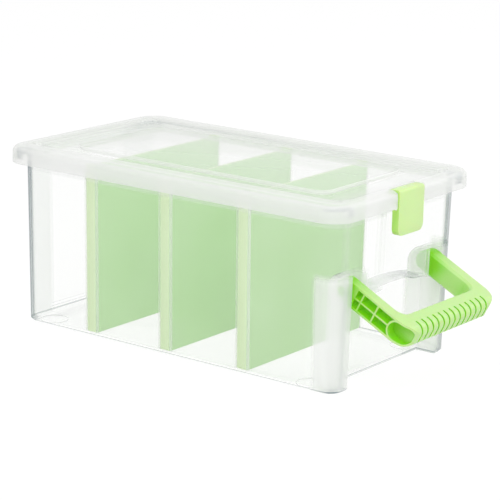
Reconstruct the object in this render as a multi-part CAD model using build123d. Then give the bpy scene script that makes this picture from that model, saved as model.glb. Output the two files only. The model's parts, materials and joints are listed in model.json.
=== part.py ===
from build123d import *
import math
import os

# Clear craft and sewing box with a snap-on lid, three loose dividers and a pull handle.
# Millimetres. The origin is the centre of the base, +Z is up, and the handle end faces -Y.

# Overall sizes of the closed box
lid_width = 200.0
lid_length = 349.0
total_height = 156.0

# Box body, moulded with walls that lean out towards the rim. The lid overhangs them at the rim.
lid_overhang_side = 12.5
lid_overhang_end = 7.5
base_corner_radius = 14.0
draft_angle = 1.13
wall = 2.0
floor_thickness = 2.2
base_edge_chamfer = 2.0
inner_base_chamfer = 1.2

# Rim flange that the lid sits on, with a lip turned down at its edge
flange_gap = 1.5
flange_thickness = 2.0
lip_thickness = 1.8
lip_depth = 6.5
catch_setback = 2.4

# Recess in the front end, where the handle hangs, between two hollow corner pillars
pillar_width = 18.7
recess_wall_inset = 30.0
recess_ceiling_side = 71.5
recess_arch_rise = 4.0

# Two taller pockets at the sides of the recess, round the ends of the handle's arms
pocket_width = 19.3
pocket_gap = 2.6
pocket_roof_slope = 24.5
pocket_corner_radius = 4.0

# Finger channel below the latch
channel_side_gap = 3.8
channel_depth = 5.6
channel_below_rim = 8.5
channel_corner_radius = 2.5

# Shallow panel let into the back wall
back_panel_width = 98.0
back_panel_depth = 1.0
back_panel_bottom = 7.0
back_panel_below_rim = 10.5

# Round pads sunk into the underside
pad_radius = 12.0
pad_depth = 0.8
pad_side_inset = 16.0
pad_front_inset = 33.0
pad_back_inset = 21.0

# Lid
lid_corner_radius = 21.0
lid_wall = 2.0
skirt_depth = 14.6
rim_edge_radius = 6.0
rim_under_chamfer = 2.5
ledge_side_inset = 24.5
ledge_end_inset = 17.0
ledge_depth = 3.0
ledge_corner_radius = 10.0
ledge_slope = 65.0
panel_side_inset = 17.5
panel_end_inset = 26.5
panel_height = 2.0
panel_corner_radius = 12.0
panel_edge_chamfer = 0.8
seat_rib_inset = 7.0
seat_rib_thickness = 1.5

# Snap hinge at the back: a round bead on the body and hooks on the lid
hinge_inset = 3.9
bead_radius = 1.7
bead_length = 24.0
hinge_x = 55.0
hook_end_setback = 2.0
hook_gap = 0.15
hook_thickness = 1.85
hook_from_angle = -75.0
hook_to_angle = 60.0
web_thickness = 1.8

# Latch, which turns on two stub pins in the lid's front rim
latch_width = 36.4
latch_length = 37.5
latch_thickness = 2.2
latch_proud = 1.0
latch_side_gap = 0.8
latch_hinge_back = 7.0
latch_barrel_radius = 2.1
latch_pin_radius = 1.1
latch_pin_length = 1.6
latch_pin_gap = 0.15
latch_rim_gap = 0.3
latch_corner_radius = 6.0
latch_flange_height = 21.0
latch_flange_depth = 4.3
latch_flange_thickness = 1.8
latch_hook_height = 4.0
latch_hook_gap = 0.3
notch_back_gap = 0.6
notch_cheek_thickness = 2.0

# Handle: one moulding, two cored arms and a ribbed grip
handle_pivot_inset = 16.5
handle_pivot_z = 81.5
handle_rest_angle = 27.0
handle_side_gap = 1.3
handle_reach = 68.0
arm_thickness = 11.5
arm_height = 18.8
arm_web = 2.4
arm_rim = 1.8
arm_rib = 1.4
arm_cell_start = 10.5
tip_cell_length = 23.0
cross_rib_first = 16.5
cross_rib_pitch = 15.0
cross_rib_count = 2
grip_depth = 20.0
grip_core_width = 9.0
grip_core_depth = 11.0
grip_core_rib = 1.8
grip_core_bays = 6
handle_outer_corner = 16.0
handle_inner_corner = 8.0
grip_edge_radius = 7.0
handle_edge_chamfer = 2.0
handle_edge_angle = 45.0
groove_count = 13
groove_pitch = 8.0
groove_width = 2.0
groove_depth = 1.4
groove_corner_chamfer = 4.0
flute_count = 9
flute_pitch = 10.0
flute_radius = 4.0
flute_depth = 0.9
stud_radius = 4.0
stud_gap = 0.2
stud_length = 4.2
boss_radius = 7.0
boss_height = 1.6

# Dividers, each with flanges along its sides that stand between guide ribs
divider_count = 3
divider_middle_y = 3.5
divider_pitch = 80.0
divider_panel = 2.0
divider_flange_depth = 9.3
divider_flange = 1.8
divider_edge_depth = 3.0
divider_headroom = 2.0
divider_side_gap = 0.4
divider_rib_gap = 0.3
guide_rib_width = 1.5
guide_rib_height = 2.6
guide_rib_below_divider = 3.0

# Sizes and places that follow from those above
slope = math.tan(math.radians(draft_angle))
past = 30.0
rim_top = total_height - 2 * latch_barrel_radius - latch_rim_gap
lid_bottom = total_height - skirt_depth
lid_crest_under = total_height - lid_wall
lid_ledge_top = total_height - ledge_depth
lid_front_y = -lid_length / 2
lid_back_y = lid_length / 2
ledge_half_width = lid_width / 2 - ledge_side_inset
ledge_half_length = lid_length / 2 - ledge_end_inset
panel_half_width = ledge_half_width - panel_side_inset
panel_half_length = ledge_half_length - panel_end_inset
base_half_width = lid_width / 2 - lid_overhang_side - slope * rim_top
base_half_length = lid_length / 2 - lid_overhang_end - slope * rim_top
recess_half_width = base_half_width - pillar_width
recess_wall_y = lid_front_y + recess_wall_inset
recess_ceiling_middle = recess_ceiling_side + recess_arch_rise
pivot_y = lid_front_y + handle_pivot_inset
pivot_z = handle_pivot_z
pocket_inner_x = recess_half_width - pocket_width
pocket_radius = arm_height / 2 + pocket_gap
channel_width = latch_width + 2 * channel_side_gap
channel_top = rim_top - channel_below_rim
back_panel_top = rim_top - back_panel_below_rim
latch_bottom = total_height - latch_length
divider_bottom = floor_thickness
divider_top = lid_ledge_top - lid_wall - divider_headroom
guide_rib_top = divider_top - guide_rib_below_divider
divider_front_faces = [
    divider_middle_y + (index - (divider_count - 1) / 2) * divider_pitch
    for index in range(divider_count)
]


def tapered_block(half_width, half_length, radius, z_from, z_to):
    """Rounded block that widens with the draft, its half sizes given at z_from."""
    outline = RectangleRounded(2 * half_width, 2 * half_length, radius)
    return Pos(0, 0, z_from) * extrude(outline, z_to - z_from, taper=-draft_angle)


def rounded_block(half_width, half_length, radius, z_from, z_to):
    """Rounded block with upright sides."""
    outline = RectangleRounded(2 * half_width, 2 * half_length, radius)
    return Pos(0, 0, z_from) * extrude(outline, z_to - z_from)


def along_x(outline, x_from, x_to):
    """Extrude an outline drawn in Y and Z from x_from to x_to."""
    return Pos(x_from, 0, 0) * extrude(Plane.YZ * outline, x_to - x_from)


def along_y(outline, y_from, y_to):
    """Extrude an outline drawn in X and Z from y_from to y_to."""
    return Pos(0, y_to, 0) * extrude(Plane.XZ * outline, y_to - y_from)


def block(x_from, x_to, y_from, y_to, z_from, z_to):
    """Plain block between two corners."""
    size = (x_to - x_from, y_to - y_from, z_to - z_from)
    return Pos(x_from, y_from, z_from) * Box(*size, align=(Align.MIN, Align.MIN, Align.MIN))


def both_sides(shape):
    """A shape and its mirror image across the box's middle plane."""
    return [shape, mirror(shape, Plane.YZ)]


def outer_half_width(z):
    """Half the body's outside width at height z."""
    return base_half_width + slope * z


def outer_half_length(z):
    """Half the body's outside length at height z."""
    return base_half_length + slope * z


def wall_face_x(z):
    """Inner face of the long walls at height z."""
    return outer_half_width(z) - wall


def recess_void(grow):
    """The space that the handle hangs in, grown by a wall thickness for the inside of the box."""
    half_width = recess_half_width + grow
    side = recess_ceiling_side + grow
    middle = recess_ceiling_middle + grow
    arch = ThreePointArc((pocket_inner_x, side), (0, middle), (-pocket_inner_x, side))
    sides = Polyline(
        (-pocket_inner_x, side),
        (-half_width, side),
        (-half_width, -past),
        (half_width, -past),
        (half_width, side),
        (pocket_inner_x, side),
    )
    front_view = make_face([arch, sides])
    low = -past
    high = middle + past
    side_view = make_face(
        Polyline(
            (recess_wall_y + grow - slope * low, low),
            (recess_wall_y + grow - slope * high, high),
            (lid_front_y - past, high),
            (lid_front_y - past, low),
            close=True,
        )
    )
    hollow = along_y(front_view, lid_front_y - past, recess_wall_y + past)
    return hollow & along_x(side_view, -half_width, half_width)


def pocket_void(grow):
    """Pocket round the end of one arm: an arc about the pivot, then a roof that rises forward."""
    radius = pocket_radius + grow
    roof_angle = 90 - pocket_roof_slope
    back = (pivot_y + radius, pivot_z)
    roof_start = (
        pivot_y + radius * math.cos(math.radians(roof_angle)),
        pivot_z + radius * math.sin(math.radians(roof_angle)),
    )
    front_y = lid_front_y - past
    rise = (roof_start[0] - front_y) * math.tan(math.radians(pocket_roof_slope))
    arc = CenterArc((pivot_y, pivot_z), radius, 0, roof_angle)
    rest = Polyline(
        roof_start,
        (front_y, roof_start[1] + rise),
        (front_y, recess_ceiling_side / 2),
        (back[0], recess_ceiling_side / 2),
        back,
    )
    x_from = pocket_inner_x - grow
    shape = along_x(make_face([arc, rest]), x_from, recess_half_width + grow)
    inner_edges = shape.edges().filter_by_position(Axis.X, x_from, x_from)
    return fillet(inner_edges.filter_by_position(Axis.Z, pivot_z, 3 * pivot_z), pocket_corner_radius)


def channel_void(grow):
    """Finger channel from the recess up to the rim, below the latch."""
    half_width = channel_width / 2 + grow
    top = channel_top + grow
    back = -outer_half_length(top) + channel_depth + grow
    low = -outer_half_length(recess_ceiling_side) + channel_depth + grow
    side_view = make_face(
        Polyline(
            (low, recess_ceiling_side - wall),
            (back, top),
            (lid_front_y - past, top),
            (lid_front_y - past, recess_ceiling_side - wall),
            close=True,
        )
    )
    shape = along_x(side_view, -half_width, half_width)
    deepest = shape.edges().filter_by(Axis.Z, tolerance=0.1).group_by(Axis.Y)[-1]
    return fillet(deepest, channel_corner_radius)


def back_panel_void(grow):
    """Shallow panel let into the back wall."""
    half_width = back_panel_width / 2 + grow
    bottom = back_panel_bottom - grow
    top = back_panel_top + grow
    side_view = make_face(
        Polyline(
            (outer_half_length(bottom) - back_panel_depth - grow, bottom),
            (outer_half_length(top) - back_panel_depth - grow, top),
            (lid_back_y + past, top),
            (lid_back_y + past, bottom),
            close=True,
        )
    )
    return along_x(side_view, -half_width, half_width)


def front_voids(grow):
    """All that is let into the body from outside."""
    pocket = pocket_void(grow)
    shape = recess_void(grow) + channel_void(grow)
    for side in both_sides(pocket):
        shape = shape + side
    return shape


def make_body():
    """Clear tub: drafted shell, handle recess, rim flange, guide ribs and hinge beads."""
    outer = tapered_block(base_half_width, base_half_length, base_corner_radius, 0, rim_top)
    outer = chamfer(outer.faces().sort_by(Axis.Z)[0].edges(), base_edge_chamfer)
    inner = tapered_block(
        wall_face_x(floor_thickness),
        outer_half_length(floor_thickness) - wall,
        base_corner_radius - wall,
        floor_thickness,
        rim_top + past,
    )
    inner = chamfer(inner.faces().sort_by(Axis.Z)[0].edges(), inner_base_chamfer)
    cavity = inner - front_voids(wall) - back_panel_void(wall)
    shell = outer - front_voids(0) - back_panel_void(0) - cavity

    under = rim_top - flange_thickness
    opening = rounded_block(
        outer_half_width(under) - wall / 2,
        outer_half_length(under) - wall / 2,
        base_corner_radius,
        under,
        rim_top,
    )
    flange = Pos(0, 0, under) * extrude(rim_outline(), flange_thickness) - opening
    inside_lip = offset(rim_outline(), -lip_thickness, kind=Kind.INTERSECTION)
    lip = Pos(0, 0, rim_top - lip_depth) * extrude(rim_outline() - inside_lip, lip_depth)
    body = shell + flange + lip

    for front_face in divider_front_faces:
        ahead = front_face - divider_rib_gap - guide_rib_width
        behind = front_face + divider_flange_depth + divider_rib_gap
        for y_from in (ahead, behind):
            for side in both_sides(guide_rib(y_from)):
                body = body + side

    for side in both_sides(hinge_bead()):
        body = body + side
    for side in both_sides(pivot_boss()):
        body = body + side
    bore = Pos(recess_half_width + wall / 2, pivot_y, pivot_z) * Rot(0, 90, 0) * Cylinder(
        stud_radius + stud_gap, 4 * wall
    )
    for side in both_sides(bore):
        body = body - side
    pad_x = base_half_width - pad_side_inset
    for y in (pad_front_inset - base_half_length, base_half_length - pad_back_inset):
        for side in both_sides(Pos(pad_x, y, 0) * Cylinder(pad_radius, 2 * pad_depth)):
            body = body - side
    return body


def rim_outline():
    """Plan of the rim flange, which steps back behind the latch."""
    inset = lid_wall + flange_gap
    plan = RectangleRounded(lid_width - 2 * inset, lid_length - 2 * inset, lid_corner_radius - inset)
    seat_width = latch_width + 2 * latch_side_gap
    return plan - Pos(0, lid_front_y + inset) * Rectangle(seat_width, 2 * catch_setback)


def catch_face_y():
    """Front face of the rim's lip behind the latch, which the latch's hook snaps under."""
    return lid_front_y + lid_wall + flange_gap + catch_setback


def guide_rib(y_from):
    """Upright rib on the inner face of a long wall, following its draft."""
    low = floor_thickness / 2
    root = wall / 2
    outline = make_face(
        Polyline(
            (wall_face_x(low) + root, low),
            (wall_face_x(guide_rib_top) + root, guide_rib_top),
            (wall_face_x(guide_rib_top), guide_rib_top),
            (wall_face_x(guide_rib_top) - guide_rib_height, guide_rib_top - 2 * guide_rib_height),
            (wall_face_x(low) - guide_rib_height, low),
            close=True,
        )
    )
    return along_y(outline, y_from, y_from + guide_rib_width)


def hinge_bead():
    """Round bead below the rim at the back, on a web that hangs from the lip."""
    axis_y = lid_back_y - hinge_inset
    bead = Pos(hinge_x, axis_y, lid_bottom) * Rot(0, 90, 0) * Cylinder(bead_radius, bead_length)
    web = block(
        hinge_x - bead_length / 2,
        hinge_x + bead_length / 2,
        axis_y - web_thickness,
        axis_y,
        lid_bottom,
        rim_top - lip_depth + lip_thickness,
    )
    return bead + web


def pivot_boss():
    """Ring that stiffens the hole for the handle's stud, inside the hollow corner."""
    centre_x = recess_half_width + wall + boss_height / 2
    return Pos(centre_x, pivot_y, pivot_z) * Rot(0, 90, 0) * Cylinder(boss_radius, boss_height)


def make_lid():
    """Frosted lid: skirt, rounded rim, sunk ledge, raised panel, hinge hooks and latch notch."""
    half_width = lid_width / 2
    half_length = lid_length / 2
    outer = rounded_block(half_width, half_length, lid_corner_radius, lid_bottom, total_height)
    outer = fillet(outer.faces().sort_by(Axis.Z)[-1].edges(), rim_edge_radius)
    ledge = RectangleRounded(2 * ledge_half_width, 2 * ledge_half_length, ledge_corner_radius)
    sink = Pos(0, 0, lid_ledge_top) * extrude(ledge, 2 * ledge_depth, taper=-ledge_slope)
    panel = rounded_block(
        panel_half_width,
        panel_half_length,
        panel_corner_radius,
        lid_ledge_top - lid_wall / 2,
        lid_ledge_top + panel_height,
    )
    panel = chamfer(panel.faces().sort_by(Axis.Z)[-1].edges(), panel_edge_chamfer)

    hollow = rounded_block(
        half_width - lid_wall,
        half_length - lid_wall,
        lid_corner_radius - lid_wall,
        lid_bottom - past,
        lid_crest_under,
    )
    hollow = chamfer(hollow.faces().sort_by(Axis.Z)[-1].edges(), rim_under_chamfer)
    mitre = lid_wall * math.tan(math.radians(90 - ledge_slope) / 2)
    under = RectangleRounded(
        2 * (ledge_half_width + mitre), 2 * (ledge_half_length + mitre), ledge_corner_radius + mitre
    )
    ledge_under = Pos(0, 0, lid_ledge_top - lid_wall) * extrude(under, ledge_depth, taper=-ledge_slope)
    panel_under = rounded_block(
        panel_half_width - lid_wall,
        panel_half_length - lid_wall,
        panel_corner_radius - lid_wall,
        lid_ledge_top - 2 * lid_wall,
        lid_ledge_top + panel_height - lid_wall,
    )
    seat = seat_rib(half_width, half_length)
    inside = hollow - ledge_under - seat - latch_cheeks() + panel_under
    lid = outer - sink + panel - inside

    notch_half = latch_width / 2 + latch_side_gap
    notch_back = latch_axis_y() + latch_barrel_radius + notch_back_gap
    lid = lid - block(
        -notch_half, notch_half, lid_front_y - past, notch_back, lid_bottom - past, total_height + past
    )
    pin_hole = Pos(0, latch_axis_y(), latch_axis_z()) * Rot(0, 90, 0) * Cylinder(
        latch_pin_radius + latch_pin_gap, latch_width + 2 * latch_side_gap + 4 * notch_cheek_thickness
    )
    lid = lid - pin_hole
    for side in both_sides(hinge_hook()):
        lid = lid + side
    return lid


def seat_rib(half_width, half_length):
    """Rib under the rim that rests on the body's flange."""
    outside = rounded_block(
        half_width - seat_rib_inset,
        half_length - seat_rib_inset,
        lid_corner_radius - seat_rib_inset,
        rim_top,
        total_height,
    )
    inset = seat_rib_inset + seat_rib_thickness
    inside = rounded_block(
        half_width - inset, half_length - inset, lid_corner_radius - inset, rim_top, total_height
    )
    return outside - inside


def latch_axis_y():
    return lid_front_y + latch_hinge_back


def latch_axis_z():
    return total_height - latch_barrel_radius


def latch_cheeks():
    """Cheeks beside the latch notch, and the wall behind it, kept solid under the rim."""
    notch_half = latch_width / 2 + latch_side_gap
    outside = notch_half + notch_cheek_thickness
    back = latch_axis_y() + latch_barrel_radius + notch_back_gap + notch_cheek_thickness
    low = rim_top + latch_pin_gap
    return block(-outside, outside, lid_front_y, back, low, total_height)


def hinge_hook():
    """C-shaped hook on the lid's back edge that turns on the body's bead."""
    axis_y = lid_back_y - hinge_inset
    inner_radius = bead_radius + hook_gap
    outer_radius = inner_radius + hook_thickness
    arc_size = hook_to_angle - hook_from_angle
    start = math.radians(hook_from_angle)
    end = math.radians(hook_to_angle)
    centre = (axis_y, lid_bottom)

    def corner(radius, angle):
        return axis_y + radius * math.cos(angle), lid_bottom + radius * math.sin(angle)

    outline = make_face(
        [
            CenterArc(centre, outer_radius, hook_from_angle, arc_size),
            Line(corner(outer_radius, end), corner(inner_radius, end)),
            CenterArc(centre, inner_radius, hook_from_angle, arc_size),
            Line(corner(inner_radius, start), corner(outer_radius, start)),
        ]
    )
    reach = bead_length / 2 - hook_end_setback
    return along_x(outline, hinge_x - reach, hinge_x + reach)


def make_latch():
    """Latch flap: hinge barrel with stub pins, top and front plates, hook and finger flanges."""
    axis_y = latch_axis_y()
    axis_z = latch_axis_z()
    half = latch_width / 2
    face_y = lid_front_y - latch_proud
    inner_y = face_y + latch_thickness
    outline = make_face(
        Polyline(
            (axis_y, total_height),
            (face_y, total_height),
            (face_y, latch_bottom),
            (inner_y, latch_bottom),
            (inner_y, total_height - latch_thickness),
            (axis_y, total_height - latch_thickness),
            close=True,
        )
    )
    flap = along_x(outline, -half, half)
    crown = flap.edges().filter_by(Axis.X).group_by(Axis.Z)[-1].sort_by(Axis.Y)[0]
    flap = fillet(crown, latch_thickness)
    barrel = Pos(0, axis_y, axis_z) * Rot(0, 90, 0) * Cylinder(latch_barrel_radius, latch_width)
    pins = Pos(0, axis_y, axis_z) * Rot(0, 90, 0) * Cylinder(
        latch_pin_radius, latch_width + 2 * latch_side_gap + 2 * latch_pin_length
    )
    hook_top = rim_top - lip_depth - latch_hook_gap
    hook_tip = catch_face_y() - latch_hook_gap
    hook = make_face(
        Polyline(
            (inner_y, hook_top),
            (hook_tip, hook_top),
            (hook_tip, hook_top - latch_thickness / 2),
            (inner_y, hook_top - latch_hook_height),
            close=True,
        )
    )
    catch = along_x(hook, -half + 2 * latch_flange_thickness, half - 2 * latch_flange_thickness)
    latch = flap + barrel + catch

    tray = block(
        -half,
        half,
        face_y,
        inner_y + latch_flange_depth,
        latch_bottom,
        latch_bottom + latch_flange_height,
    )
    inside = block(
        -half + latch_flange_thickness,
        half - latch_flange_thickness,
        inner_y,
        inner_y + latch_flange_depth + past,
        latch_bottom + latch_flange_thickness,
        latch_bottom + latch_flange_height + past,
    )
    latch = latch + (tray - inside)
    low_corners = latch.edges().filter_by(Axis.Y).group_by(Axis.Z)[0]
    latch = fillet(low_corners, latch_corner_radius)
    return latch + pins


def handle_plan():
    """U-shaped plan of the handle: X across, arms along +Y, pivots at y = 0."""
    half = recess_half_width - handle_side_gap
    start = -arm_height / 2
    outer = Rectangle(2 * half, handle_reach - start, align=(Align.CENTER, Align.MIN))
    outer = fillet(outer.vertices().group_by(Axis.Y)[-1], handle_outer_corner)
    return Pos(0, start) * outer - handle_gap()


def handle_gap():
    """Plan of the finger gap between the arms, run out past the pivots."""
    half = recess_half_width - handle_side_gap - arm_thickness
    start = -arm_height / 2 - past
    gap = Rectangle(2 * half, handle_reach - grip_depth - start, align=(Align.CENTER, Align.MIN))
    gap = fillet(gap.vertices().group_by(Axis.Y)[-1], handle_inner_corner)
    return Pos(0, start) * gap


def handle_side():
    """Side view of the handle: round about the pivot, with rounded edges at the grip."""
    height = arm_height / 2
    bar = Pos(0, -height) * Rectangle(handle_reach, arm_height, align=(Align.MIN, Align.MIN))
    bar = fillet(bar.vertices().group_by(Axis.X)[-1], grip_edge_radius)
    return bar + Circle(height)


def arm_cells():
    """The cored cells in one arm: two rows between cross ribs, then one large round-ended cell."""
    height = arm_height / 2 - arm_rim
    end_radius = height + arm_rib
    end_centre = handle_reach - tip_cell_length + end_radius
    row = Pos(arm_cell_start, 0) * Rectangle(
        end_centre - arm_cell_start, 2 * height, align=(Align.MIN, Align.CENTER)
    )
    row = row - Pos(end_centre, 0) * Circle(end_radius)
    row = row - Pos(arm_cell_start, 0) * Rectangle(
        end_centre, arm_rib, align=(Align.MIN, Align.CENTER)
    )
    for index in range(cross_rib_count):
        place = cross_rib_first + index * cross_rib_pitch
        row = row - Pos(place, 0) * Rectangle(arm_rib, arm_height)
    tip = handle_reach - arm_rim
    cell = Pos(end_centre, 0) * Rectangle(
        tip - end_centre, 2 * height, align=(Align.MIN, Align.CENTER)
    )
    cell = fillet(cell.vertices().group_by(Axis.X)[-1], grip_edge_radius - arm_rim)
    cell = cell + Pos(end_centre, 0) * Circle(height)
    return row, cell


def grip_grooves(side_outline):
    """Grooves round the outside of the grip, square to its length."""
    core = Rectangle(
        2 * (handle_reach - groove_depth), arm_height - 2 * groove_depth
    )
    core = chamfer(core.vertices(), groove_corner_chamfer)
    reach = handle_reach - grip_depth / 2
    band = (side_outline - core) & (Pos(reach, 0) * Rectangle(
        handle_reach, arm_height, align=(Align.MIN, Align.CENTER)
    ))
    grooves = []
    first = -(groove_count - 1) / 2 * groove_pitch
    for index in range(groove_count):
        centre = first + index * groove_pitch
        grooves.append(along_x(band, centre - groove_width / 2, centre + groove_width / 2))
    return grooves


def make_handle():
    """Pull handle, built lying level with its pivots on the X axis, then turned to its rest angle."""
    half = recess_half_width - handle_side_gap
    side = handle_side()
    plan = Pos(0, 0, -arm_height / 2) * extrude(handle_plan(), arm_height)
    handle = plan & along_x(side, -half, half)
    bevel = Pos(0, 0, arm_height / 2 - handle_edge_chamfer) * extrude(
        handle_gap(), handle_edge_chamfer, taper=-handle_edge_angle
    )
    handle = handle - bevel - mirror(bevel, Plane.XY)

    row, cell = arm_cells()
    depth = arm_thickness - arm_web
    for outline in (row, cell):
        for pocket in both_sides(along_x(outline, half - depth, half)):
            handle = handle - pocket
    for groove in grip_grooves(side):
        handle = handle - groove
    inner_face = handle_reach - grip_depth
    first = -(flute_count - 1) / 2 * flute_pitch
    for index in range(flute_count):
        centre = (first + index * flute_pitch, inner_face - flute_radius + flute_depth)
        handle = handle - Pos(*centre) * Cylinder(flute_radius, arm_height)

    bay_span = 2 * (half - handle_outer_corner)
    bay = (bay_span - (grip_core_bays - 1) * grip_core_rib) / grip_core_bays
    middle_y = handle_reach - grip_depth / 2
    for index in range(grip_core_bays):
        x_from = -bay_span / 2 + index * (bay + grip_core_rib)
        handle = handle - block(
            x_from,
            x_from + bay,
            middle_y - grip_core_width / 2,
            middle_y + grip_core_width / 2,
            -arm_height / 2 - past,
            -arm_height / 2 + grip_core_depth,
        )
    stud = Pos(half + stud_length / 2, 0, 0) * Rot(0, 90, 0) * Cylinder(stud_radius, stud_length)
    for stub in both_sides(stud):
        handle = handle + stub
    turned = Rot(handle_rest_angle, 0, 0) * mirror(handle, Plane.XZ)
    return Pos(0, pivot_y, pivot_z) * turned


def make_divider(front_face):
    """Green divider: a panel with deep side flanges and a shallow edge along its top and bottom."""
    low = divider_bottom
    high = divider_top
    low_x = wall_face_x(low) - divider_side_gap
    high_x = wall_face_x(high) - divider_side_gap
    face = make_face(
        Polyline((-low_x, low), (low_x, low), (high_x, high), (-high_x, high), close=True)
    )
    full = along_y(face, front_face, front_face + divider_flange_depth)
    low_corners = full.edges().filter_by(Axis.Y).group_by(Axis.Z)[0]
    full = fillet(low_corners, 2 * inner_base_chamfer)
    window = make_face(
        Polyline(
            (-low_x + divider_flange, low + divider_flange),
            (low_x - divider_flange, low + divider_flange),
            (high_x - divider_flange, high - divider_flange),
            (-high_x + divider_flange, high - divider_flange),
            close=True,
        )
    )
    hollow = along_y(window, front_face + divider_panel, front_face + divider_flange_depth)
    trim = block(
        -low_x + divider_flange,
        low_x - divider_flange,
        front_face + divider_edge_depth,
        front_face + divider_flange_depth,
        low - past,
        high + past,
    )
    return full - hollow - trim


def main():
    pieces = {
        "box_body": make_body(),
        "lid": make_lid(),
        "latch": make_latch(),
        "pull_handle": make_handle(),
    }
    for number, front_face in enumerate(divider_front_faces, start=1):
        pieces[f"divider_{number}"] = make_divider(front_face)

    os.makedirs("parts", exist_ok=True)
    for name, shape in pieces.items():
        shape.label = name
        export_step(shape, f"parts/{name}.step")


main()
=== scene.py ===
"""Clear sewing box with a frosted lid, lime latch and pull handle, and three tinted dividers.

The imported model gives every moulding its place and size. Here each one is finished as a moulding:
its facets are merged, its edges get the small radius that a mould leaves, and it gets its plastic.
"""
import json
import math

import bpy
from mathutils import Matrix, Vector


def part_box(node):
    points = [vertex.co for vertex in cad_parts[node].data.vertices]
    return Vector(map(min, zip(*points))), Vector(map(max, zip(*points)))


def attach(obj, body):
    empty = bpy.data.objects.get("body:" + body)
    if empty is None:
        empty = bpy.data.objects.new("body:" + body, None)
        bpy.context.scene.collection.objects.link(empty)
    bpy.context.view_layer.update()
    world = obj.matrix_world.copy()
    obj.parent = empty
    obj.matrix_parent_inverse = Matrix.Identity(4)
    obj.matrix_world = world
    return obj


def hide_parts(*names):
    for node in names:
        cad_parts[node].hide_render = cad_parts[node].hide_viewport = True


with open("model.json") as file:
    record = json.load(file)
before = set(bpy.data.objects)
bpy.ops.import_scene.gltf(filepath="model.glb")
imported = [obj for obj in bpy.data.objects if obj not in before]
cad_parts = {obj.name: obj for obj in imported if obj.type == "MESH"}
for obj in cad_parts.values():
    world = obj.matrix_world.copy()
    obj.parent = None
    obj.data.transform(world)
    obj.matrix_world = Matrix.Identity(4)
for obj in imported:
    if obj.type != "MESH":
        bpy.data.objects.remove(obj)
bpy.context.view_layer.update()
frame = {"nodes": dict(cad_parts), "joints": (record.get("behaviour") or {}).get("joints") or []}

MM = 0.001

# The frame's own edges, from which the places on the mouldings are measured
half_width, half_length, lid_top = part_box("lid")[1]
floor_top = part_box("divider_1")[0].z
pivot = next(Vector(j["pos_m"]) for j in frame["joints"] if j["name"] == "handle_pivot")

# The photograph's camera, fitted to the box in the picture
CAMERA_PLACE = (-1.38408, -1.04366, 0.52009)
CAMERA_RIGHT = (0.60056, -0.79924, 0.02339)
CAMERA_UP = (0.18549, 0.16771, 0.96823)
CAMERA_BACK = (-0.77777, -0.57714, 0.24897)
LENS_MM = 151.59
SENSOR_MM = 36.0

# Moulding: doubles closer than this are one point, and facets flatter than this are one face
WELD_MM = 0.002
FLAT_DEGREES = 0.5
# Edges sharper than this are eased, and shaded as edges
EDGE_DEGREES = 32
EASING_SEGMENTS = 2

POLYPROPYLENE_IOR = 1.49
# A moulded skin's grain is too fine to show, so it is drawn coarser, in grains to the metre
FROST_GRAINS = 900
SKIN_GRAINS = 700
# Slow unevenness left by the flow of the melt: waves of about 45 mm, and clouds of about 70 mm
FLOW_WAVES = 22
CLOUDS = 14

# Whether a limit counts on both sides of the middle plane, or only where its value says
BOTH_SIDES = True
ONE_SIDE = False
# How squarely a face looks along an axis, from 0 to 1: where it begins to count, and where in full
FACING = (0.6, 0.8)
TURNED_AWAY = (0.8, 0.6)
SLOPING = (0.99, 0.85)
FLANGE_EDGE = (0.85, 0.5)
# How far a wall is side on to the eye, from 0 to 1, for its rounded corners to show their painted
# shade and thicker film
ROUNDING_SHOWS = (0.12, 0.6)
# How late each look sets in as a wall turns side on, the painted blue-grey shade as well as the
# see-through films: higher is later
PAINTED_SHADE_FALLOFF = 9
CLEAR_FALLOFF = 7
FROST_FALLOFF = 3

# Studio
FLOOR_SIZE = 14
FLOOR_BELOW = 0.0002
# The floor glows for the eye alone: with the light on the rest of it, it comes out white
FLOOR_GLOW = 1.07
FLOOR_GLOW_SHARE = 0.8
WORLD_LIGHT = 0.7
LAMP_SIZE = 1.2
LAMP_AIM = Vector((0, 0, 0.08))
# Name, place and watts
LAMPS = (
    ("key_softbox", (-1.2, -0.9, 1.9), 16),
    ("fill_softbox", (1.4, -1.2, 1.2), 6),
)
# An eye that looks through the box passes more than twenty faces of clear plastic
CLEAR_FACES_PASSED = 40


def deselect_all():
    """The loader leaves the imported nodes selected, and an operator acts on all that is selected."""
    if bpy.context.object and bpy.context.object.mode != "OBJECT":
        bpy.ops.object.mode_set(mode="OBJECT")
    bpy.ops.object.select_all(action="DESELECT")


def make_active(piece):
    deselect_all()
    piece.select_set(True)
    bpy.context.view_layer.objects.active = piece


# Materials

def linear(hex_colour):
    """An sRGB hex colour as linear RGBA."""
    values = [int(hex_colour[i : i + 2], 16) / 255 for i in (1, 3, 5)]
    return [v / 12.92 if v <= 0.04045 else ((v + 0.055) / 1.055) ** 2.4 for v in values] + [1.0]


def add_node(owner, kind, settings=(), links=()):
    """One node with its properties, its input values, and what feeds its inputs."""
    node = owner.node_tree.nodes.new(kind)
    for name, value in dict(settings).items():
        if isinstance(name, int) or name in node.inputs:
            node.inputs[name].default_value = value
        else:
            setattr(node, name, value)
    for name, source in dict(links).items():
        owner.node_tree.links.new(source, node.inputs[name])
    return node


def new_material(name):
    material = bpy.data.materials.new(name)
    material.use_nodes = True
    material.node_tree.nodes.clear()
    return material


def colour_between(ramp, low, high, start=0.0, end=1.0):
    """Sets a ramp to run from the low colour at start to the high colour at end."""
    for stop, colour, position in zip(ramp.color_ramp.elements, (low, high), (start, end)):
        stop.color = linear(colour)
        stop.position = position


def near(start, begins_mm, full_mm):
    """Where a limit begins to be met and where it is met in full, as distances from a place."""
    return start + begins_mm * MM, start + full_mm * MM


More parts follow.
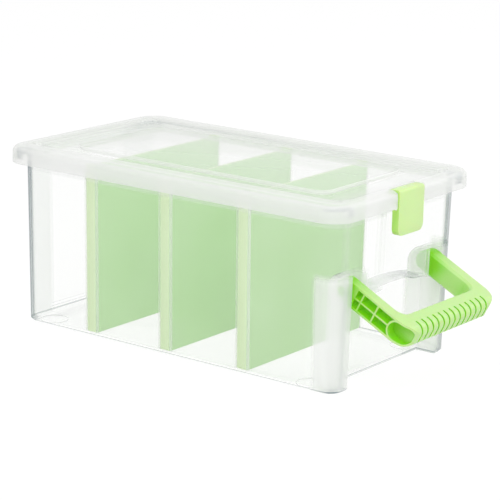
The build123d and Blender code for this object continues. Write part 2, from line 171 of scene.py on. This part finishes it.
def region(material, *limits):
    """1 where all the limits are met and 0 outside. Each limit is a value, the sides it counts on,
    where it begins to be met and where it is met in full. Places are in metres from the middle
    planes and the floor."""
    mask = None
    for value, sides, begins, full in limits:
        if sides == BOTH_SIDES:
            size = add_node(material, "ShaderNodeMath", {"operation": "ABSOLUTE"}, {0: value})
            value = size.outputs[0]
        met = add_node(material, "ShaderNodeMapRange", {
            "interpolation_type": "SMOOTHSTEP", "From Min": begins, "From Max": full,
        }, {"Value": value})
        if mask:
            met = add_node(material, "ShaderNodeMath", {"operation": "MULTIPLY"}, {
                0: mask.outputs[0], 1: met.outputs[0],
            })
        mask = met
    return mask


def thicker(material, opacity, shares):
    """The opacity plus each region's share of it, at most 1."""
    for mask, share in shares:
        opacity = add_node(material, "ShaderNodeMath", {
            "operation": "MULTIPLY_ADD", "use_clamp": True, 1: share,
        }, {0: mask.outputs[0], 2: opacity.outputs[0]})
    return opacity


def see_through(material, shader, to_light, opacity=None):
    """Lets what is behind show through the shader, and gives the material its output. Without an
    opacity the eye sees none of what is behind. Light that a plastic wall scatters mostly goes on
    inwards, so lamps and bounced light meet only the to_light share of it."""
    rays = add_node(material, "ShaderNodeLightPath")
    indirect = add_node(material, "ShaderNodeMath", {"operation": "MAXIMUM"}, {
        0: rays.outputs["Is Shadow Ray"], 1: rays.outputs["Is Diffuse Ray"],
    })
    met = add_node(material, "ShaderNodeMapRange", {"To Min": 1.0, "To Max": to_light}, {
        "Value": indirect.outputs[0],
    })
    if opacity:
        met = add_node(material, "ShaderNodeMath", {"operation": "MULTIPLY", "use_clamp": True}, {
            0: opacity.outputs[0], 1: met.outputs[0],
        })
    open_way = add_node(material, "ShaderNodeBsdfTransparent", {"Color": linear("#FFFFFF")})
    mix = add_node(material, "ShaderNodeMixShader", (), {
        0: met.outputs[0], 1: open_way.outputs[0], 2: shader.outputs[0],
    })
    add_node(material, "ShaderNodeOutputMaterial", (), {"Surface": mix.outputs[0]})


def clear_polypropylene():
    """Clarified polypropylene, injection moulded in polished steel. Its thin walls nearly vanish
    face on. Its colour is painted a blue-grey shade where the eye looks along a wall and on its
    rounded corners, foot, pad edges, the edges of its back panel, recess ceiling and rim flange, a
    painted shade for the light those parts bend. Its steps, ribs and foot show as pale lines where
    its film is thicker, and as grey lines where that painted shade lies."""
    m = new_material("clear_polypropylene")
    place = add_node(m, "ShaderNodeTexCoord")
    flow = add_node(m, "ShaderNodeTexNoise", {"Scale": FLOW_WAVES, "Detail": 2}, {
        "Vector": place.outputs["Object"],
    })
    wave = add_node(m, "ShaderNodeBump", {"Strength": 0.15, "Distance": 0.6 * MM}, {
        "Height": flow.outputs[0],
    })
    at = add_node(m, "ShaderNodeSeparateXYZ", (), {"Vector": place.outputs["Object"]}).outputs
    x, y, z = at["X"], at["Y"], at["Z"]
    turned = add_node(m, "ShaderNodeSeparateXYZ", (), {"Vector": place.outputs["Normal"]}).outputs
    facing_end, facing_up = turned["Y"], turned["Z"]
    side_on = add_node(m, "ShaderNodeLayerWeight", {"Blend": 0.5}).outputs["Facing"]

    corners = region(
        m, (x, BOTH_SIDES, *near(half_width, -30, -22)),
        (y, BOTH_SIDES, *near(half_length, -24.5, -16.5)),
        (side_on, ONE_SIDE, *ROUNDING_SHOWS)
    )
    # Both sides of the shallow panel in the back wall, which ends 49 mm from the middle plane
    back_strips = region(
        m, (x, BOTH_SIDES, *near(0, 48, 50)), (y, ONE_SIDE, *near(half_length, -16.5, -14.5))
    )
    # Round the ends of the handle's arms the eye passes the walls of the pillar and its pocket
    cheeks = region(
        m, (x, BOTH_SIDES, *near(0, 42, 45)), (y, ONE_SIDE, *near(pivot.y, 18, 12)),
        (z, ONE_SIDE, *near(pivot.z, 16.5, 8.5))
    )
    # The recess's arched ceiling lies 6 to 10 mm below the handle's pivot
    recess_ceiling = region(
        m, (z, ONE_SIDE, *near(pivot.z, -17.5, -13.5)), (z, ONE_SIDE, *near(pivot.z, 2.5, -1.5)),
        (facing_up, BOTH_SIDES, *FACING)
    )
    # The foot's band lies above the pads, which are sunk 0.8 mm, and below the floor's top
    foot = region(
        m, (z, ONE_SIDE, *near(0, 0.9, 1.2)), (z, ONE_SIDE, *near(floor_top, -0.1, -0.3))
    )
    pad_edges = region(
        m, (z, ONE_SIDE, *near(0, 0.9, 0.8)), (facing_up, BOTH_SIDES, *TURNED_AWAY)
    )
    rim_flange = region(m, (z, ONE_SIDE, *near(lid_top, -23, -20)))
    guide_ribs = region(
        m, (facing_end, BOTH_SIDES, *FACING), (y, BOTH_SIDES, *near(half_length, -62.5, -66.5)),
        (x, BOTH_SIDES, *near(half_width, -28, -26))
    )

    # Painted shade: the colour turns blue-grey as a wall turns side on to the eye and on the listed
    # regions, standing in for the light that the plastic bends
    painted_shade = add_node(m, "ShaderNodeMath", {"operation": "POWER", 1: PAINTED_SHADE_FALLOFF}, {0: side_on})
    for mask, share in (
        (corners, 1.0), (foot, 0.8), (pad_edges, 0.4), (back_strips, 0.25), (recess_ceiling, 0.2),
        (rim_flange, 0.1),
    ):
        part = add_node(m, "ShaderNodeMath", {"operation": "MULTIPLY", 1: share}, {
            0: mask.outputs[0],
        })
        painted_shade = add_node(m, "ShaderNodeMath", {"operation": "MAXIMUM", "use_clamp": True}, {
            0: painted_shade.outputs[0], 1: part.outputs[0],
        })
    # The plastic's own near-white, running to the painted blue-grey shade
    tone = add_node(m, "ShaderNodeValToRGB", (), {"Fac": painted_shade.outputs[0]})
    colour_between(tone, "#FAFBF9", "#7F8F96")
    body = add_node(m, "ShaderNodeBsdfPrincipled", {"Roughness": 0.07, "IOR": POLYPROPYLENE_IOR}, {
        "Base Color": tone.outputs[0], "Normal": wave.outputs[0],
    })
    grazing = add_node(m, "ShaderNodeMath", {"operation": "POWER", 1: CLEAR_FALLOFF}, {0: side_on})
    # Face on a wall hides 3% of what is behind it, and side on 75%
    film = add_node(m, "ShaderNodeMapRange", {"To Min": 0.03, "To Max": 0.75}, {
        "Value": grazing.outputs[0],
    })
    film = thicker(m, film, (
        (corners, 0.6), (back_strips, 0.12), (cheeks, 0.4), (recess_ceiling, 0.3), (foot, 0.5),
        (pad_edges, 0.35), (guide_ribs, 0.35), (rim_flange, 0.15),
    ))
    see_through(m, body, to_light=0.15, opacity=film)
    return m


def frosted_polypropylene():
    """Natural polypropylene with a fine spark-eroded frost: milky, and what is below it shows pale.
    Its rim and its steps are seen through more plastic, and are whiter."""
    m = new_material("frosted_polypropylene")
    place = add_node(m, "ShaderNodeTexCoord")
    grain = add_node(m, "ShaderNodeTexNoise", {"Scale": FROST_GRAINS, "Detail": 3}, {
        "Vector": place.outputs["Object"],
    })
    frost = add_node(m, "ShaderNodeBump", {"Strength": 0.15, "Distance": 0.2 * MM}, {
        "Height": grain.outputs[0],
    })
    body = add_node(m, "ShaderNodeBsdfPrincipled", {
        "Base Color": linear("#F5F6F4"), "Roughness": 0.32, "IOR": POLYPROPYLENE_IOR,
    }, {"Normal": frost.outputs[0]})
    at = add_node(m, "ShaderNodeSeparateXYZ", (), {"Vector": place.outputs["Object"]}).outputs
    turned = add_node(m, "ShaderNodeSeparateXYZ", (), {"Vector": place.outputs["Normal"]}).outputs
    side_on = add_node(m, "ShaderNodeLayerWeight", {"Blend": 0.5}).outputs["Facing"]

    rim_sides = region(m, (at["X"], BOTH_SIDES, *near(half_width, -23, -16)))
    rim_ends = region(m, (at["Y"], BOTH_SIDES, *near(half_length, -15.5, -9.5)))
    rim = add_node(m, "ShaderNodeMath", {"operation": "MAXIMUM"}, {
        0: rim_sides.outputs[0], 1: rim_ends.outputs[0],
    })
    steps = region(
        m, (turned["Z"], BOTH_SIDES, *SLOPING), (at["X"], BOTH_SIDES, *near(half_width, -20, -22)),
        (at["Y"], BOTH_SIDES, *near(half_length, -12.5, -14.5))
    )
    grazing = add_node(m, "ShaderNodeMath", {"operation": "POWER", 1: FROST_FALLOFF}, {0: side_on})
    # Face on the lid hides 13% of what is behind it, and side on 45%
    milk = add_node(m, "ShaderNodeMapRange", {"To Min": 0.13, "To Max": 0.45}, {
        "Value": grazing.outputs[0],
    })
    milk = thicker(m, milk, ((rim, 0.3), (steps, 0.5)))
    see_through(m, body, to_light=0.15, opacity=milk)
    return m


def lime_polypropylene(name, surface_colour, cell_shade_colour):
    """Polypropylene coloured lime right through its thickness, semi-gloss. Its cored cells and other
    hollows are painted a deeper, darker green where they are enclosed, a painted shade, and each
    copy is given its own surface colour and its own colour for that painted shade."""
    m = new_material(name)
    place = add_node(m, "ShaderNodeTexCoord")
    grain = add_node(m, "ShaderNodeTexNoise", {"Scale": SKIN_GRAINS, "Detail": 3}, {
        "Vector": place.outputs["Object"],
    })
    skin = add_node(m, "ShaderNodeBump", {"Strength": 0.12, "Distance": 0.2 * MM}, {
        "Height": grain.outputs[0],
    })
    # Painted shade: where the AO node finds the surface enclosed, the colour runs to the darker cell
    # colour
    painted_cell_shade = add_node(m, "ShaderNodeAmbientOcclusion", {"Distance": 30 * MM, "samples": 8})
    tone = add_node(m, "ShaderNodeValToRGB", (), {"Fac": painted_cell_shade.outputs["AO"]})
    colour_between(tone, cell_shade_colour, surface_colour, start=0.6, end=0.97)
    body = add_node(m, "ShaderNodeBsdfPrincipled", {
        "Roughness": 0.36, "IOR": POLYPROPYLENE_IOR, "Subsurface Weight": 0.4,
        "Subsurface Scale": 6 * MM, "Subsurface Radius": (0.6, 1.0, 0.15),
    }, {"Base Color": tone.outputs[0], "Normal": skin.outputs[0]})
    see_through(m, body, to_light=0.4)
    return m


def tinted_polypropylene():
    """Polypropylene with a light green tint, 2 mm thick and cloudy, so that light glows through it.
    Its flange faces are painted paler and yellower than its face, a painted highlight for the light
    they catch along their length."""
    m = new_material("tinted_polypropylene")
    place = add_node(m, "ShaderNodeTexCoord")
    cloud = add_node(m, "ShaderNodeTexNoise", {"Scale": CLOUDS, "Detail": 2}, {
        "Vector": place.outputs["Object"],
    })
    face = add_node(m, "ShaderNodeValToRGB", (), {"Fac": cloud.outputs[0]})
    colour_between(face, "#CDECBA", "#D8F2CB")
    turned = add_node(m, "ShaderNodeSeparateXYZ", (), {"Vector": place.outputs["Normal"]}).outputs
    # Painted highlight: faces not turned towards the box's ends, the flange faces and edges, are
    # painted a paler yellow-green
    flange_highlight = region(m, (turned["Y"], BOTH_SIDES, *FLANGE_EDGE))
    # A colour mix takes its share at input 0 and its colours at 6 and 7, and gives output 2
    tone = add_node(m, "ShaderNodeMix", {"data_type": "RGBA", 7: linear("#E8F8D2")}, {
        0: flange_highlight.outputs[0], 6: face.outputs[0],
    }).outputs[2]
    body = add_node(m, "ShaderNodeBsdfPrincipled", {"Roughness": 0.35, "IOR": POLYPROPYLENE_IOR}, {
        "Base Color": tone,
    })
    glow = add_node(m, "ShaderNodeBsdfTranslucent", (), {"Color": tone})
    mix = add_node(m, "ShaderNodeMixShader", {0: 0.35}, {1: body.outputs[0], 2: glow.outputs[0]})
    see_through(m, mix, to_light=0.45)
    return m


# Pieces

def finish_moulding(node, body, slot, material, edge_mm):
    """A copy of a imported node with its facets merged, its edges eased and its own plastic."""
    make_active(frame["nodes"][node])
    bpy.ops.object.duplicate()
    piece = bpy.context.object
    piece.name = piece.data.name = node + "_moulding"
    for key in list(piece.keys()):
        del piece[key]
    piece.parent = None
    bpy.ops.object.mode_set(mode="EDIT")
    bpy.ops.mesh.select_all(action="SELECT")
    bpy.ops.mesh.remove_doubles(threshold=WELD_MM * MM)
    bpy.ops.mesh.dissolve_limited(angle_limit=math.radians(FLAT_DEGREES))
    bpy.ops.object.mode_set(mode="OBJECT")
    ease = piece.modifiers.new("eased_edges", "BEVEL")
    ease.limit_method = "ANGLE"
    ease.angle_limit = math.radians(EDGE_DEGREES)
    ease.width = edge_mm * MM
    ease.segments = EASING_SEGMENTS
    bpy.ops.object.modifier_apply(modifier=ease.name)
    piece.data.materials.clear()
    piece.data.materials.append(material)
    bpy.ops.object.shade_smooth_by_angle(angle=math.radians(EDGE_DEGREES))
    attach(piece, body)
    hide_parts(node)


clear = clear_polypropylene()
frosted = frosted_polypropylene()
# The handle's copy of the lime has deeper surface and painted cell shade colours than the latch's
latch_lime = lime_polypropylene("lime_polypropylene", "#D6F5A8", "#B4E46E")
handle_lime = lime_polypropylene("handle_lime_polypropylene", "#C9EE9C", "#84D808")
tinted = tinted_polypropylene()

# Node, the body it rides on, the record's slot, its plastic, and its eased edges' width in mm
for moulding in (
    ("box_body", "body", "clear_plastic", clear, 0.4),
    ("lid", "lid", "frosted_plastic", frosted, 0.4),
    ("latch", "latch", "green_plastic", latch_lime, 0.3),
    ("pull_handle", "handle", "green_plastic", handle_lime, 0.3),
    ("divider_1", "divider_front", "tinted_plastic", tinted, 0.3),
    ("divider_2", "divider_middle", "tinted_plastic", tinted, 0.3),
    ("divider_3", "divider_back", "tinted_plastic", tinted, 0.3),
):
    finish_moulding(*moulding)


# Studio

def seen_directly(owner):
    """1 for an eye that looks straight, through a clear piece or by a reflection, 0 for light."""
    rays = add_node(owner, "ShaderNodeLightPath")
    seen = add_node(owner, "ShaderNodeMath", {"operation": "MAXIMUM"}, {
        0: rays.outputs["Is Camera Ray"], 1: rays.outputs["Is Transmission Ray"],
    })
    return add_node(owner, "ShaderNodeMath", {"operation": "MAXIMUM"}, {
        0: seen.outputs[0], 1: rays.outputs["Is Glossy Ray"],
    })


def floor_material():
    """Matt white studio board that looks nearly as bright as the backdrop, and keeps a shadow."""
    m = new_material("white_studio_floor")
    white = add_node(m, "ShaderNodeBsdfPrincipled", {
        "Base Color": linear("#F4F4F4"), "Roughness": 0.9,
    })
    glow = add_node(m, "ShaderNodeEmission", {"Color": linear("#FFFFFF"), "Strength": FLOOR_GLOW})
    share = add_node(m, "ShaderNodeMath", {"operation": "MULTIPLY", 1: FLOOR_GLOW_SHARE}, {
        0: seen_directly(m).outputs[0],
    })
    mix = add_node(m, "ShaderNodeMixShader", (), {
        0: share.outputs[0], 1: white.outputs[0], 2: glow.outputs[0],
    })
    add_node(m, "ShaderNodeOutputMaterial", (), {"Surface": mix.outputs[0]})
    return m


def studio():
    deselect_all()
    bpy.ops.mesh.primitive_plane_add(size=FLOOR_SIZE, location=(0, 0, -FLOOR_BELOW))
    floor = bpy.context.object
    floor.name = "studio_floor"
    floor.data.materials.append(floor_material())

    world = bpy.data.worlds.new("white_studio")
    bpy.context.scene.world = world
    world.use_nodes = True
    world.node_tree.nodes.clear()
    white = linear("#FFFFFF")
    light = add_node(world, "ShaderNodeBackground", {"Color": white, "Strength": WORLD_LIGHT})
    backdrop = add_node(world, "ShaderNodeBackground", {"Color": white, "Strength": 1.0})
    mix = add_node(world, "ShaderNodeMixShader", (), {
        0: seen_directly(world).outputs[0], 1: light.outputs[0], 2: backdrop.outputs[0],
    })
    add_node(world, "ShaderNodeOutputWorld", (), {"Surface": mix.outputs[0]})

    for name, place, watts in LAMPS:
        deselect_all()
        bpy.ops.object.light_add(type="AREA", location=place)
        lamp = bpy.context.object
        lamp.name = name
        lamp.data.size = LAMP_SIZE
        lamp.data.energy = watts
        lamp.rotation_euler = (LAMP_AIM - Vector(place)).to_track_quat("-Z", "Y").to_euler()


def camera():
    deselect_all()
    bpy.ops.object.camera_add()
    view = bpy.context.object
    view.name = "photo_camera"
    view.data.lens = LENS_MM
    view.data.sensor_width = SENSOR_MM
    view.data.clip_start = 0.05
    view.data.clip_end = 50
    axes = Matrix((CAMERA_RIGHT, CAMERA_UP, CAMERA_BACK)).transposed().to_4x4()
    axes.translation = Vector(CAMERA_PLACE)
    view.matrix_world = axes
    bpy.context.scene.camera = view


studio()
camera()
bpy.context.scene.view_settings.view_transform = "Standard"
bpy.context.scene.cycles.transparent_max_bounces = CLEAR_FACES_PASSED
